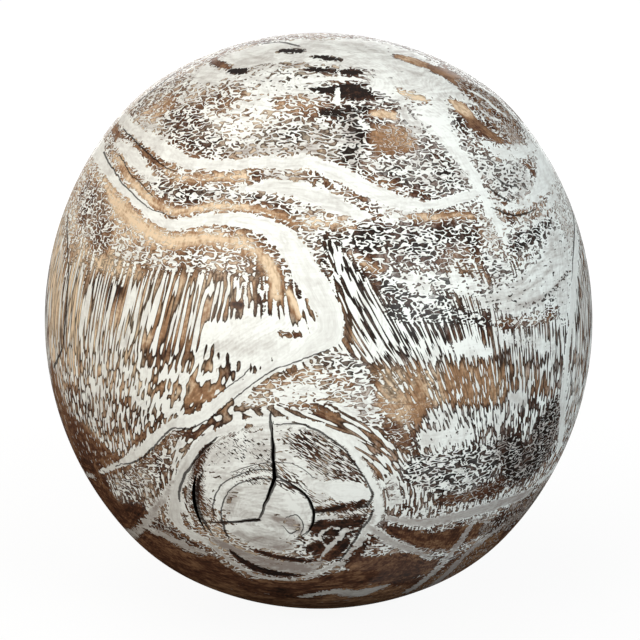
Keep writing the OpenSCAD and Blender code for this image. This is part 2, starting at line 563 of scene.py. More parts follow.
LIME_BANDS = {
    "upper band": (0.2, 0.32, unseen(
        (-165, 30, 2.2), (-140, 36, 2.2), (-115, 42, 2.0), (-101, 45, 1.6)) + seen(
        (119, 112, 5), (124, 119, 8), (133, 130, 11), (155, 144, 14), (177, 158, 12), (206, 165, 10),
        (243, 164, 10), (280, 162, 12), (312, 164, 15), (347, 178, 16), (388, 198, 14), (428, 206, 10),
        (458, 199, 9), (477, 193, 8))),
    "upper band's fold": (0.55, 0.34, seen(
        (236, 190, 4), (262, 187, 10), (290, 188, 16), (312, 194, 18), (335, 204, 16), (356, 214, 10),
        (374, 221, 4))),
    "big loop": (0.12, 0.24, unseen(
        (-168, 16, 2.6), (-140, 24, 2.4), (-115, 32, 1.8), (-100, 36.5, 1.5)) + seen(
        (97, 146, 5), (101, 157, 8), (114, 179, 8), (136, 200, 10), (158, 219, 10), (173, 225, 10),
        (206, 220, 11), (243, 221, 14), (271, 230, 19), (290, 246, 24), (306, 270, 26), (320, 295, 26),
        (330, 315, 24), (330, 334, 24), (312, 346, 20), (295, 357, 14), (272, 369, 11), (253, 381, 11),
        (225, 397, 11), (197, 418, 11), (169, 427, 9), (144, 449, 9), (121, 464, 7), (100, 472, 3))),
    "wedge between the bands": (0.5, 0.28, seen(
        (117, 140, 5), (126, 150, 13), (138, 163, 13), (150, 176, 8), (158, 181, 3))),
    "diagonal streak": (0.6, 0.1, seen(
        (421, 117, 4), (450, 140, 8), (471, 173, 9), (484, 197, 9), (495, 222, 7), (507, 245, 3))),
    "upper lobes": (1.0, 0.25, seen((484, 142, 3), (500, 152, 8), (520, 151, 10), (535, 143, 5))),
    "right loop": (0.8, 0.25, seen(
        (541, 143, 4), (546, 165, 8), (541, 186, 9), (526, 202, 7), (503, 208, 4))),
    "strand under the right loop": (0.3, 0.3, seen(
        (503, 228, 1.5), (520, 229, 2.5), (536, 223, 3), (547, 210, 3), (555, 192, 2))),
    "right rim": (0.35, 0.3, seen(
        (575, 225, 3), (575, 270, 4), (571, 320, 4), (567, 357, 4), (563, 403, 4), (559, 448, 3))),
    "first arc by the eye": (0.2, 0.25, seen(
        (466, 99, 1.5), (478, 106, 1.5), (488, 116, 1.5), (502, 121, 1))),
    "second arc by the eye": (0.2, 0.25, seen((470, 91, 1.5), (484, 98, 2), (495, 108, 2), (506, 116, 1))),
    "third arc by the eye": (0.2, 0.25, seen((479, 86, 1.5), (494, 96, 2), (506, 107, 2), (516, 120, 1))),
    "knot's ring, right": (0.3, 0.12, seen(
        (222, 429, 4), (253, 421, 5), (280, 420, 5), (305, 422, 5), (329, 431, 6), (351, 449, 7),
        (367, 473, 8), (377, 496, 8), (377, 514, 8), (371, 528, 5))),
    "knot's ring, left": (0.4, 0.42, seen(
        (243, 424, 4), (216, 433, 7), (197, 447, 8), (185, 466, 10), (178, 486, 12), (175, 505, 11),
        (176, 521, 8), (190, 534, 6), (206, 541, 5))),
    "heart's ring line": (0.0, 0.1, seen(
        (219, 520, 2), (218, 503, 3), (225, 488, 3), (241, 479, 3), (258, 475, 3), (273, 475, 2))),
    "patch right of the heart": (0.4, 0.15, seen((318, 487, 12), (345, 491, 19), (365, 493, 12))),
    "knot's lower ring": (0.2, 0.7, seen(
        (206, 539, 3), (228, 559, 2.5), (251, 573, 2.5), (275, 579, 2), (302, 579, 2.5), (322, 571, 3),
        (338, 562, 3))),
    "strand right of the knot": (0.6, 0.75, seen(
        (375, 516, 7), (366, 532, 5), (354, 548, 4), (338, 565, 4))),
    "inner strand": (0.1, 0.55, seen(
        (358, 527, 2.5), (347, 530, 4), (339, 537, 4), (330, 547, 4), (318, 560, 2))),
    "small ring": (0.0, 0.5, seen(
        (339, 528, 2), (330, 528, 3), (322, 532, 3), (319, 538, 3), (322, 543, 3), (327, 547, 2))),
    "line right of the heart": (0.0, 0.4, seen((317, 519, 2), (330, 518, 3), (341, 519, 2))),
    "chip in the heart": (0.0, 0.0, seen((258, 525, 3), (266, 527, 4), (274, 529, 2))),
    "greyed band": (0.35, 0.88, seen(
        (388, 517, 4), (404, 521, 6), (421, 523, 7), (458, 516, 7), (495, 505, 6), (530, 492, 3))),
    "greyed branch": (0.6, 1.0, seen(
        (475, 520, 1.5), (463, 537, 3), (449, 556, 3), (432, 574, 3), (408, 591, 2.5))),
    "second greyed branch": (0.6, 1.1, seen(
        (502, 526, 1), (482, 541, 2), (463, 557, 2), (444, 576, 2.5), (418, 595, 2))),
    "third greyed branch": (0.6, 1.2, seen(
        (514, 533, 1), (495, 548, 1.5), (474, 564, 1.5), (452, 582, 2), (430, 596, 1))),
    "greyed fork": (0.35, 0.9, seen(
        (371, 527, 7), (388, 540, 7), (403, 547, 6), (418, 552, 4), (430, 559, 2))),
    "thin strand": (0.0, 0.4, seen((371, 530, 2), (368, 545, 2), (367, 558, 1))),
    "tongue left of the knot": (0.7, 0.85, seen(
        (178, 478, 4), (168, 490, 6), (160, 503, 7), (150, 515, 8), (142, 526, 7), (136, 533, 5),
        (130, 534, 3))),
    "bottom streak": (0.5, 0.8, seen(
        (300, 596, 2), (334, 592, 4), (355, 594, 6), (372, 590, 5), (386, 586, 2))),
    "lower left streak": (0.6, 0.85, seen((150, 530, 2), (168, 537, 4), (186, 546, 4), (204, 553, 2))),
    "loop's tail, behind": (0.6, 0.5, unseen(
        (-62, -28, 0.5), (-80, -30, 1.2), (-105, -28, 1.6), (-140, -20, 1.8), (-168, -12, 1.5),
        (-190, -6, 1.0))),
    "upper band, behind": (0.5, 0.2, unseen(
        (88, 42, 1.0), (105, 43, 2.0), (130, 41, 2.6), (155, 36, 2.8), (178, 31, 2.4), (195, 30, 2.2))),
    "greyed band, behind": (0.5, 0.4, unseen(
        (60, -29, 0.8), (80, -27, 1.8), (105, -21, 2.2), (130, -11, 2.8), (155, 3, 2.8), (176, 13, 2.6),
        (192, 16, 2.6))),
    "foot ring, behind": (0.6, 0.8, unseen(
        (-130, -46, 0.8), (-155, -50, 1.6), (180, -51, 1.8), (155, -49, 1.6), (130, -45, 0.8))),
    # Painted reflection: a window's white cross on the varnished top, laid in as lime
    "cross on the top, upright": (0.0, 0.0, seen((339, 70, 3), (338, 86, 4), (337, 103, 6))),
    "cross on the top, level": (0.0, 0.0, seen((308, 80, 3), (338, 79, 4), (360, 80, 3))),
}

# Painted shade along the cracks' mouths, in widths of the cut
CHECK_SHADE_WIDTH = 1.1
CHECK_SHADE_ROOT = 1.25
CHECK_SHADE_TAPER = 0.75
CHECK_SHADE_MARKS = 9
RING_SHADE_END = 0.35
RING_SHADE_SWELL = 3.2
RING_SHADE_MARKS = 14


def check_line(root, bearing, length, width):
    """A check's middle line, a little wider than the cut, drawn dark as painted shade at its mouth."""
    route = []
    for step in np.linspace(0, 1, CHECK_SHADE_MARKS):
        shade_width = CHECK_SHADE_WIDTH * width * (CHECK_SHADE_ROOT - CHECK_SHADE_TAPER * step)
        route.append(in_knot(*check_middle(root, bearing, length, step), shade_width))
    return route


def shake_line(radius, width, start, stop):
    """A sprung ring's middle line, drawn dark as painted shade at its mouth."""
    route = []
    for turn in np.linspace(0, 1, RING_SHADE_MARKS):
        spot = (radius - width / 2) * towards(math.radians(start + (stop - start) * turn))
        shade_width = CHECK_SHADE_WIDTH * width * (RING_SHADE_END + RING_SHADE_SWELL * turn * (1 - turn))
        route.append(in_knot(*spot, shade_width))
    return route


DARK_LINES = {
    # Painted shade: dark lines over the cracks' mouths, a little wider than the cuts
    "upper check": check_line(heart_top, **UPPER_CHECK),
    "heart check": check_line(heart_top, **HEART_CHECK),
    "left check": check_line(heart_end, **LEFT_CHECK),
    "heart ring, right": shake_line(**HEART_RING),
    "edge ring": shake_line(**EDGE_RING),
    "loop's upper edge": seen(
        (104, 152, 1.2), (116, 173, 1.3), (130, 191, 1.3), (150, 209, 1.1), (172, 217, 0.8)),
    "golden strip's upper edge": seen((120, 155, 0.9), (130, 172, 1.2), (140, 184, 1), (152, 195, 0.8)),
    "upper band's lower edge": seen(
        (124, 128, 0.8), (134, 141, 1.6), (150, 155, 1.8), (164, 166, 1.4), (176, 171, 0.8)),
    "loop's lower edge": seen(
        (328, 351, 1.3), (284, 366, 1.5), (270, 372, 1.5), (253, 384, 1.5), (240, 395, 1.5), (225, 405, 1.5),
        (208, 419, 1.5), (192, 430, 1.5)),
    "tail of the loop": seen(
        (190, 429, 2), (173, 428, 2), (162, 438, 2), (149, 452, 2), (140, 459, 2), (116, 466, 1)),
    "inside of the loop": seen((249, 369, 1.5), (236, 381, 1.5), (219, 393, 1.5)),
    "knot's left edge": seen((217, 438, 2), (203, 450, 3), (190, 466, 3), (182, 480, 3), (180, 500, 2)),
    "knot's right edge": seen(
        (277, 424, 1.5), (300, 425, 2), (321, 432, 2), (341, 447, 2), (358, 467, 2), (368, 484, 2),
        (372, 496, 3), (366, 506, 3), (357, 507, 2)),
    "heart ring, inner left": seen(
        (229, 537, 2), (223, 525, 2), (222, 506, 1.5), (229, 491, 1.5), (243, 483, 1.5), (259, 479, 1.5),
        (271, 479, 1.5)),
    "heart ring, outer left": seen(
        (214, 516, 1), (214, 502, 1.5), (222, 484, 1.5), (239, 475, 1.5), (257, 470, 1.5), (272, 471, 1.5)),
    "line over the heart": seen((231, 472, 1), (254, 465, 1), (277, 463, 1), (298, 466, 1), (314, 477, 1)),
    # Painted shade where the checks meet
    "junction of the checks": seen((274, 474, 3), (278, 478, 3.5), (283, 481, 2)),
    "pith arc": seen((288, 517, 1), (297, 515, 1), (303, 524, 1.5), (301, 535, 1)),
    "inner pith arc": seen((284, 527, 1), (291, 533, 1.5), (298, 530, 1)),
    "right of the heart": seen((316, 513, 2), (330, 510, 4), (343, 506, 3)),
    "beside the strand": seen((372, 511, 2), (367, 523, 2.5), (358, 534, 2), (351, 546, 2), (340, 559, 1.5)),
    "first fold in the right loop": seen((488, 187, 1), (498, 195, 2), (509, 200, 1.5)),
    "second fold in the right loop": seen((496, 178, 1), (505, 184, 2), (514, 186, 1)),
    "fold under the right loop": seen((493, 209, 1), (506, 214, 2), (522, 214, 2), (535, 209, 1)),
    "right rim": seen((571, 188, 0.6), (573, 215, 0.8), (573, 250, 0.8), (572, 280, 0.5)),
    "left rim": seen((68, 215, 0.7), (68, 260, 0.9), (67, 300, 1), (63, 345, 1), (54, 368, 0.7)),
    "left shoulder rim": seen((139, 101, 1), (156, 88, 1), (176, 73, 1), (192, 64, 0.6)),
    "top dash, far": seen((262, 44, 1), (280, 42, 1), (298, 46, 1)),
}

ZONES = {
    # Dark wood and greyed lime all round the underside, partly the wood's own colour and partly painted shade
    "foot": (dict(cover=0.06, tone=0.33, grime_and_shade=0.75), 6.0, unseen(
        (100, -52, 14), (70, -48, 16), (35, -58, 18), (0, -62, 20), (-35, -56, 20), (-70, -44, 22),
        (-100, -42, 20), (-130, -48, 18), (-160, -54, 18), (170, -57, 16), (135, -56, 14), (100, -52, 14))),
    "left side's foot": (dict(cover=0.1, tone=0.42, grime_and_shade=0.6), 6.0, unseen(
        (-72, -22, 12), (-88, -29, 14), (-108, -38, 14))),
    "brown field behind": (dict(cover=0.2, tone=0.72, roundness=0.4), 3.0, unseen(
        (-150, 6, 6), (-165, 4, 12), (180, -2, 12), (168, -6, 6))),
    "tan strip behind": (dict(cover=0.14, tone=1.05), 2.0, unseen(
        (-105, 40, 3), (-125, 33, 5), (-148, 27, 6), (-170, 22, 5), (170, 21, 3))),
    "pale field behind": (dict(cover=1.05, grime_and_shade=0.3, roundness=1), 3.0, unseen(
        (150, 24, 6), (130, 29, 12), (108, 31, 12))),
    "dark field behind": (dict(cover=0.42, tone=0.08, roundness=1), 3.0, unseen(
        (120, 4, 8), (140, 10, 12), (160, 14, 6))),
    "warm left side": (dict(tone=0.8), 6.0, seen(
        (75, 200, 60), (80, 280, 80), (85, 360, 80), (110, 420, 60))),
    "left rim, lower": (dict(cover=0.1, tone=0.42, grime_and_shade=0.6), 2.5, seen(
        (53, 378, 8), (57, 395, 12), (66, 425, 14), (80, 460, 14), (98, 492, 12))),
    "left shoulder": (dict(cover=0.6, tone=0.45, grime_and_shade=0.25, roundness=1), 2.0, seen(
        (140, 112, 30), (165, 95, 40), (190, 82, 34))),
    "tan on the shoulder": (dict(cover=0.3, tone=0.8, roundness=1), 1.0, seen(
        (150, 114, 12), (162, 106, 14))),
    "pale haze under the shoulder": (dict(cover=1.05, grime_and_shade=0.55, roundness=1), 1.5, seen(
        (136, 121, 9), (152, 130, 15), (168, 141, 7))),
    "worms over the upper band": (dict(cover=0.55, tone=0.22, grime_and_shade=0.25, roundness=1), 1.5, seen(
        (175, 122, 26), (200, 134, 30), (225, 148, 16))),
    "dark in those worms": (dict(cover=0.46, tone=0.3), 1.0, seen(
        (176, 116, 8), (190, 122, 14), (206, 130, 12))),
    "pale patch on the shoulder": (dict(cover=1.05, grime_and_shade=0.3, roundness=1), 1.0, seen(
        (202, 112, 7), (222, 122, 9))),
    "white patch on the shoulder": (dict(cover=1.05, grime_and_shade=0.15, roundness=1), 2.5, seen(
        (276, 84, 14), (262, 98, 24), (250, 113, 30), (236, 132, 18))),
    "brown worms under the top": (dict(cover=0.4, tone=0.6, roundness=1), 1.0, seen(
        (284, 104, 16), (315, 106, 18))),
    "grey worms over the band": (dict(cover=0.68, tone=0.2, grime_and_shade=0.35, roundness=1), 1.5, seen(
        (250, 144, 16), (285, 136, 28), (325, 138, 28), (345, 150, 24))),
    "grey edge of the band": (dict(cover=0.8, tone=0.4, grime_and_shade=0.8, roundness=1), 0.8, seen(
        (232, 154, 6), (262, 151, 8), (300, 149, 8), (335, 157, 7))),
    "top cap": (dict(cover=1.18, tone=0.25, grime_and_shade=0.32, roundness=1), 2.0, seen(
        (220, 68, 22), (250, 58, 26), (280, 52, 26), (330, 50, 26), (390, 56, 26), (430, 80, 30))),
    "top cap's front": (dict(cover=1.05, tone=0.15, grime_and_shade=0.2, roundness=1), 1.5, seen(
        (250, 80, 12), (290, 80, 20), (320, 88, 14))),
    "grey lines on the top": (dict(cover=0.7, tone=0.3, grime_and_shade=0.5, roundness=1), 0.8, seen(
        (255, 68, 4), (280, 66, 6), (300, 64, 5))),
    "valley under the upper band": (dict(cover=0.0, tone=0.5), 0.8, seen(
        (114, 128, 5), (120, 136, 6), (132, 146, 5), (150, 157, 5), (164, 167, 4), (178, 172, 2))),
    "top dash, left": (dict(cover=0.0, tone=-0.1), 0.4, seen((231, 71, 4), (243, 71, 6))),
    "top dash, middle": (dict(cover=0.0, tone=-0.1), 0.4, seen((284, 51, 4), (299, 51, 4))),
    # Painted reflection: dark panes of a window on the varnished top, laid in as near-black bare wood
    "top bar one": (dict(cover=0.0, tone=-0.1), 0.4, seen((315, 57, 3), (325, 58, 4), (339, 60, 3))),
    "top bar two": (dict(cover=0.1, tone=-0.1), 0.4, seen((308, 69, 3), (322, 70, 5), (335, 71, 5))),
    "top bar three": (dict(cover=0.0, tone=-0.1), 0.4, seen((344, 72, 5), (352, 72, 6), (359, 72, 4))),
    "top bar four": (dict(cover=0.0, tone=-0.1), 0.4, seen((312, 89, 3), (324, 90, 7), (334, 91, 7))),
    "brown hook": (dict(cover=0.0, tone=0.42), 0.4, seen(
        (215, 58, 4), (215, 62, 5), (221, 64, 5), (228, 68, 5))),
    # Painted reflection, as above: dark window bars and a blue-black patch of reflected dark, laid in as dark
    # wood
    "dark bars by the top": (dict(cover=0.14, tone=0.0), 0.5, seen(
        (343, 91, 13), (358, 93, 16), (371, 97, 7))),
    "dark bars below": (dict(cover=0.24, tone=0.0, roundness=1), 0.6, seen(
        (324, 112, 8), (345, 112, 13), (367, 108, 9))),
    "blue-black reflection": (dict(cover=0.56, tone=0.0, grime_and_shade=0.7, roundness=1), 1.4, seen(
        (350, 122, 20), (354, 142, 22), (354, 162, 16))),
    "pale flake in the dark reflection": (dict(cover=1.0, grime_and_shade=0.2), 0.5, seen((362, 124, 7), (368, 128, 6))),
    "amber patch": (dict(cover=0.16, tone=0.86), 0.5, seen((374, 114, 8), (386, 114, 10), (396, 116, 7))),
    "brown block": (dict(cover=0.26, tone=0.68, grime_and_shade=0.6, roundness=1), 0.8, seen(
        (384, 138, 28), (402, 139, 26))),
    "pale swirl": (dict(cover=1.1, grime_and_shade=0.45, roundness=1), 0.8, seen(
        (405, 113, 9), (414, 122, 12), (418, 134, 8))),
    "worms over the dip": (dict(cover=0.64, tone=0.16, grime_and_shade=0.35, roundness=1), 1.2, seen(
        (385, 172, 22), (420, 172, 30), (455, 180, 22))),
    "brown in the dip": (dict(cover=0.35, tone=0.55), 1.0, seen((375, 180, 12), (392, 186, 12))),
    "white flow": (dict(cover=1.18, grime_and_shade=0.2, roundness=1), 1.5, seen(
        (398, 84, 30), (425, 100, 26), (440, 125, 24), (456, 150, 18), (470, 175, 10))),
    "gold in the flow": (dict(cover=0.2, tone=1.2), 1.0, seen((400, 92, 6), (412, 96, 9), (424, 99, 7))),
    "brown strip by the top": (dict(cover=0.0, tone=0.75), 0.4, seen(
        (399, 57, 4), (414, 61, 7), (429, 66, 5))),
    "second brown strip": (dict(cover=0.06, tone=0.5), 0.5, seen((436, 70, 7), (451, 76, 9), (463, 86, 8))),
    "arcs by the eye": (dict(cover=0.4, tone=0.45, grime_and_shade=0.6, roundness=1), 1.0, seen(
        (475, 92, 12), (490, 104, 22), (502, 120, 20))),
    "pale right of the eye": (dict(cover=0.66, tone=0.5, grime_and_shade=0.8, roundness=1), 1.5, seen(
        (500, 92, 12), (520, 112, 20), (532, 132, 18))),
    "shadow by the eye": (dict(cover=0.12, tone=0.45), 0.9, seen(
        (466, 114, 8), (476, 124, 10), (489, 134, 9), (502, 141, 5))),
    "tan eye": (dict(cover=0.0, tone=0.98), 0.9, seen((453, 102, 6), (459, 106, 11), (465, 111, 9))),
    "right shoulder": (dict(cover=0.92, tone=0.45, grime_and_shade=0.3, roundness=1), 1.5, seen(
        (542, 150, 18), (556, 185, 22), (565, 225, 18))),
    "worms right of the streak": (dict(cover=0.95, tone=0.1, grime_and_shade=0.3, roundness=1), 1.2, seen(
        (488, 168, 16), (505, 178, 26), (525, 178, 20))),
    "brown strip right of the streak": (dict(cover=0.2, tone=0.6), 0.6, seen(
        (496, 212, 3), (512, 214, 5), (526, 211, 3))),
    "right limb": (dict(cover=0.54, tone=0.6, grime_and_shade=0.35, roundness=0), 0.8, seen(
        (579, 205, 8), (584, 240, 12), (586, 280, 13), (586, 320, 12), (582, 360, 12), (577, 400, 8))),
    "tan strip under the upper band": (dict(cover=0.24, tone=0.92), 1.0, seen(
        (166, 170, 5), (182, 177, 9), (206, 178, 10), (235, 177, 9), (262, 175, 6))),
    "grey strip under the upper band": (dict(cover=0.6, tone=0.35, grime_and_shade=0.5, roundness=1), 0.8, seen(
        (255, 176, 7), (285, 177, 8), (318, 182, 6))),
    "worm strip": (dict(cover=0.58, tone=0.15, roundness=1), 0.8, seen(
        (152, 180, 8), (170, 192, 13), (200, 195, 13), (240, 196, 9), (270, 200, 6))),
    "golden strip": (dict(cover=0.13, tone=1.03), 1.2, seen(
        (113, 152, 4), (124, 168, 8), (136, 187, 10), (158, 205, 11), (178, 212, 9), (200, 208, 9),
        (230, 207, 10), (262, 211, 9), (292, 222, 5))),
    "tan zone under the loop": (dict(cover=0.14, tone=1.08), 2.2, seen(
        (108, 186, 6), (114, 200, 14), (130, 217, 20), (150, 232, 20), (172, 241, 19), (206, 238, 17),
        (240, 243, 15), (262, 257, 14), (274, 276, 14), (276, 298, 12))),
    "tan zone's end": (dict(cover=0.18, tone=1.1), 1.0, seen((266, 262, 8), (274, 278, 10), (277, 296, 8))),
    "worms left of the tan": (dict(cover=0.5, tone=0.4, roundness=1), 1.2, seen(
        (84, 195, 14), (94, 215, 24), (98, 240, 26))),
    "tan streak at the left": (dict(cover=0.35, tone=1.0, roundness=0.6), 1.5, seen(
        (84, 250, 14), (108, 265, 16), (140, 277, 12))),
    "worms under the tan": (dict(cover=0.6, tone=0.55, roundness=0.9), 1.2, seen(
        (128, 254, 12), (160, 260, 14), (200, 258, 16), (240, 266, 12))),
    "left rim strip": (dict(cover=0.3, tone=1.02, grime_and_shade=0.25, roundness=0), 0.8, seen(
        (57, 220, 10), (55, 260, 13), (54, 310, 13), (52, 352, 6))),
    "left brown": (dict(cover=0.4, tone=1.06, roundness=0), 1.2, seen(
        (76, 275, 12), (74, 315, 14), (75, 350, 16), (80, 385, 14))),
    "dashes": (dict(cover=0.48, tone=0.74, roundness=0, shortness=0), 2.0, seen(
        (95, 305, 36), (140, 312, 66), (185, 308, 66), (225, 295, 34))),
    "dark dashes": (dict(cover=0.48, tone=0.25, roundness=0), 1.5, seen((92, 285, 18), (115, 292, 18))),
    "brown blocks": (dict(cover=0.4, tone=0.9, roundness=0), 1.0, seen((130, 325, 20), (146, 335, 16))),
    "second brown block": (dict(cover=0.28, tone=0.72, roundness=0), 1.0, seen(
        (182, 325, 12), (187, 342, 14))),
    "third brown block": (dict(cover=0.2, tone=0.72, roundness=0), 0.6, seen((252, 283, 6), (254, 296, 7))),
    "pin knot": (dict(cover=0.0, tone=0.05), 0.4, seen((234, 304, 6), (240, 304, 8), (245, 305, 4))),
    "white in the loop": (dict(cover=1.25, grime_and_shade=0.15, roundness=0), 1.2, seen(
        (210, 333, 20), (238, 338, 36), (270, 342, 44), (312, 334, 28))),
    "grey in the loop": (dict(grime_and_shade=0.5), 1.5, seen((215, 345, 10), (245, 350, 12), (270, 342, 8))),
    "curly brown in the loop": (dict(cover=0.3, tone=0.5, roundness=1), 0.5, seen(
        (279, 333, 6), (292, 335, 6), (302, 334, 4))),
    "tan lines in the loop": (dict(cover=0.1, tone=1.15, roundness=0), 0.6, seen(
        (290, 292, 7), (295, 305, 8), (299, 316, 7))),
    "second tan lines": (dict(cover=0.3, tone=1.0, roundness=0), 0.6, seen(
        (306, 284, 5), (314, 305, 6), (318, 318, 5))),
    "brown beside the loop": (dict(cover=0.42, tone=0.8, roundness=0), 0.6, seen(
        (343, 300, 5), (352, 322, 7), (353, 340, 7))),
    "short dashes": (dict(cover=0.5, tone=0.8, grime_and_shade=0.05, roundness=0, shortness=1), 2.0, seen(
        (85, 378, 36), (125, 388, 50), (170, 384, 50), (208, 370, 26))),
    "grey dashes": (dict(cover=0.5, tone=0.46, grime_and_shade=0.2, roundness=0, shortness=1), 1.5, seen(
        (75, 405, 22), (110, 415, 30), (145, 415, 26))),
    "white dashes by the tail": (dict(cover=0.8, tone=0.3, roundness=0, shortness=1), 1.2, seen(
        (140, 402, 14), (165, 405, 16))),
    "reddish wedge": (dict(cover=0.16, tone=0.7, roundness=0), 0.6, seen(
        (188, 401, 6), (204, 396, 12), (220, 389, 8))),
    "brown lip over the loop's tail": (dict(cover=0.3, tone=0.45, shortness=1), 0.7, seen(
        (124, 449, 8), (140, 440, 7), (160, 425, 5))),
    "dark under the loop's tail": (dict(cover=0.3, tone=0.42, roundness=1), 0.8, seen(
        (192, 434, 5), (178, 434, 7), (166, 444, 8), (150, 458, 8), (128, 471, 9))),
    "left dark plain": (dict(cover=0.1, tone=0.36, grime_and_shade=0.6), 1.2, seen(
        (74, 430, 10), (84, 446, 18), (104, 459, 20), (122, 464, 8))),
    "strip below the loop": (dict(cover=0.5, tone=0.28, roundness=1, shortness=1), 1.2, seen(
        (165, 462, 18), (145, 475, 20), (122, 488, 18))),
    # Dark wood and greyed lime at the bottom left and bottom, partly the wood's own colour and partly painted
    # shade
    "lower left dark": (dict(cover=0.08, tone=0.3, grime_and_shade=0.7), 1.2, seen(
        (92, 482, 20), (112, 505, 26), (128, 522, 18), (140, 508, 14))),
    "bottom left": (dict(cover=0.08, tone=0.34, grime_and_shade=0.9), 1.2, seen(
        (118, 535, 16), (150, 555, 24), (185, 565, 26), (215, 580, 20))),
    "bottom": (dict(cover=0.1, tone=0.44, grime_and_shade=1.1, roundness=0.4), 1.0, seen(
        (190, 592, 22), (245, 597, 24), (300, 600, 24), (355, 600, 20), (420, 590, 12))),
    "worms under the knot's left": (dict(cover=0.4, tone=0.35, grime_and_shade=0.7, roundness=1), 1.0, seen(
        (160, 528, 12), (178, 540, 14), (196, 550, 10))),
    "worms above the knot": (dict(cover=0.7, tone=0.45, grime_and_shade=0.1, roundness=1), 1.0, seen(
        (250, 402, 18), (285, 392, 30), (325, 386, 36), (358, 395, 36), (378, 420, 22))),
    "tan over the knot": (dict(cover=0.45, tone=0.7, roundness=1), 0.8, seen(
        (262, 388, 8), (290, 377, 10), (325, 373, 12), (350, 383, 10))),
    "white over the knot": (dict(cover=1.1, grime_and_shade=0.1, roundness=1), 0.8, seen(
        (280, 392, 8), (300, 391, 12), (324, 393, 8))),
    "white worms over the knot": (dict(cover=0.75, tone=0.12, roundness=1), 1.0, seen(
        (320, 358, 18), (345, 364, 20), (372, 380, 16))),
    "brown over the knot": (dict(cover=0.3, tone=0.55, roundness=1), 0.8, seen(
        (290, 405, 6), (312, 408, 8), (335, 415, 8))),
    "knot's pale face": (dict(cover=1.12, grime_and_shade=0.18, tone=0.2, roundness=1), 1.0, seen(
        (216, 495, 22), (222, 466, 34), (258, 446, 36), (290, 446, 36), (312, 470, 24))),
    "fine worms in the knot": (dict(cover=0.84, tone=0.1, grime_and_shade=0.4, roundness=0.3, shortness=1), 1.2, seen(
        (218, 456, 16), (236, 450, 24), (258, 449, 26), (268, 460, 12))),
    "knot's striped side": (dict(cover=0.42, tone=0.24, grime_and_shade=0.25, roundness=0, shortness=1), 1.0, seen(
        (290, 440, 16), (316, 449, 34), (339, 464, 34), (356, 480, 16))),
    "pale beside the heart": (dict(cover=1.12, grime_and_shade=0.3, roundness=1), 0.8, seen(
        (292, 468, 9), (310, 481, 11), (322, 496, 8))),
    # Painted shade: a soft dark inside the knot's left edge, beside the sprung edge ring
    "dark in the knot's left": (dict(cover=0.18, tone=0.2, grime_and_shade=0.8), 1.0, seen(
        (206, 446, 6), (200, 457, 9), (197, 472, 9), (198, 490, 5), (204, 510, 3))),
    "knot's heart": (dict(cover=1.3, grime_and_shade=0.32, roundness=1), 0.8, seen(
        (246, 507, 40), (268, 512, 54), (290, 516, 42))),
    "grey left of the heart": (dict(cover=0.86, grime_and_shade=0.6, tone=0.15, roundness=1), 0.8, seen(
        (228, 512, 6), (230, 500, 9), (238, 491, 6))),
    "white in the heart": (dict(cover=1.3, grime_and_shade=-0.1), 0.8, seen(
        (288, 500, 5), (296, 508, 7), (300, 518, 5))),
    "shade in the heart": (dict(cover=1.0, grime_and_shade=0.95, tone=0.3), 0.8, seen(
        (276, 517, 6), (288, 521, 9), (297, 526, 9), (300, 533, 7))),
    "white patch under the check": (dict(cover=1.3, grime_and_shade=-0.05), 0.6, seen(
        (228, 528, 6), (242, 530, 8), (254, 533, 5))),
    "foot of the heart": (dict(cover=1.2, grime_and_shade=0.75), 1.0, seen(
        (238, 534, 10), (262, 542, 14), (288, 546, 10))),
    "dark right of the heart": (dict(cover=0.1, tone=0.1, grime_and_shade=0.8), 0.6, seen(
        (318, 511, 4), (332, 509, 6), (346, 507, 7), (362, 503, 6))),
    "grey right of the heart": (dict(cover=0.14, tone=0.06, grime_and_shade=0.8, roundness=1), 0.8, seen(
        (320, 528, 16), (342, 528, 18), (356, 522, 12))),
    "grey under the small ring": (dict(cover=0.1, tone=0.08, grime_and_shade=0.8), 0.6, seen(
        (311, 549, 7), (324, 546, 14), (340, 544, 14))),
    # Dark wood and greyed lime under the knot, partly the wood's own colour and partly painted shade
    "dark under the lower ring": (dict(cover=0.06, tone=0.26, grime_and_shade=0.8), 0.8, seen(
        (214, 566, 10), (250, 587, 12), (300, 591, 14), (340, 580, 16), (360, 578, 14), (372, 574, 8))),
    "dark below the heart": (dict(cover=0.05, tone=0.3, grime_and_shade=0.8), 0.8, seen(
        (318, 560, 8), (332, 552, 12))),
    "greyed and shaded foot of the knot": (dict(cover=1.15, grime_and_shade=1.0, roundness=1), 0.6, seen(
        (214, 540, 5), (232, 550, 8), (255, 562, 14), (282, 568, 15), (306, 568, 11), (320, 563, 6))),
    "gap under the heart": (dict(cover=0.0, tone=0.05, grime_and_shade=0.8), 0.3, seen(
        (254, 550, 2), (268, 555, 4), (288, 559, 5), (311, 561, 2))),
    "second gap under the heart": (dict(cover=0.0, tone=0.02, grime_and_shade=0.8), 0.3, seen(
        (228, 549, 2), (243, 561, 5), (262, 570, 6), (286, 575, 4), (304, 575, 1))),
    "white haze under the band": (dict(cover=0.95, tone=0.5, grime_and_shade=0.25, roundness=1), 1.0, seen(
        (372, 203, 8), (392, 212, 12), (412, 216, 8))),
    "brown under the band": (dict(cover=0.2, tone=0.84), 0.8, seen(
        (408, 216, 4), (430, 219, 8), (455, 216, 8), (476, 216, 6))),
    "tan under the fold": (dict(cover=0.42, tone=0.85, roundness=1), 0.8, seen(
        (305, 222, 12), (330, 222, 12), (350, 228, 10))),
    "dark worms": (dict(cover=0.5, tone=0.04, roundness=1), 1.5, seen(
        (345, 242, 18), (385, 240, 28), (425, 243, 34), (465, 242, 32))),
    "brown in the dark worms": (dict(cover=0.4, tone=0.42, roundness=1), 1.5, seen(
        (445, 253, 16), (465, 252, 20))),
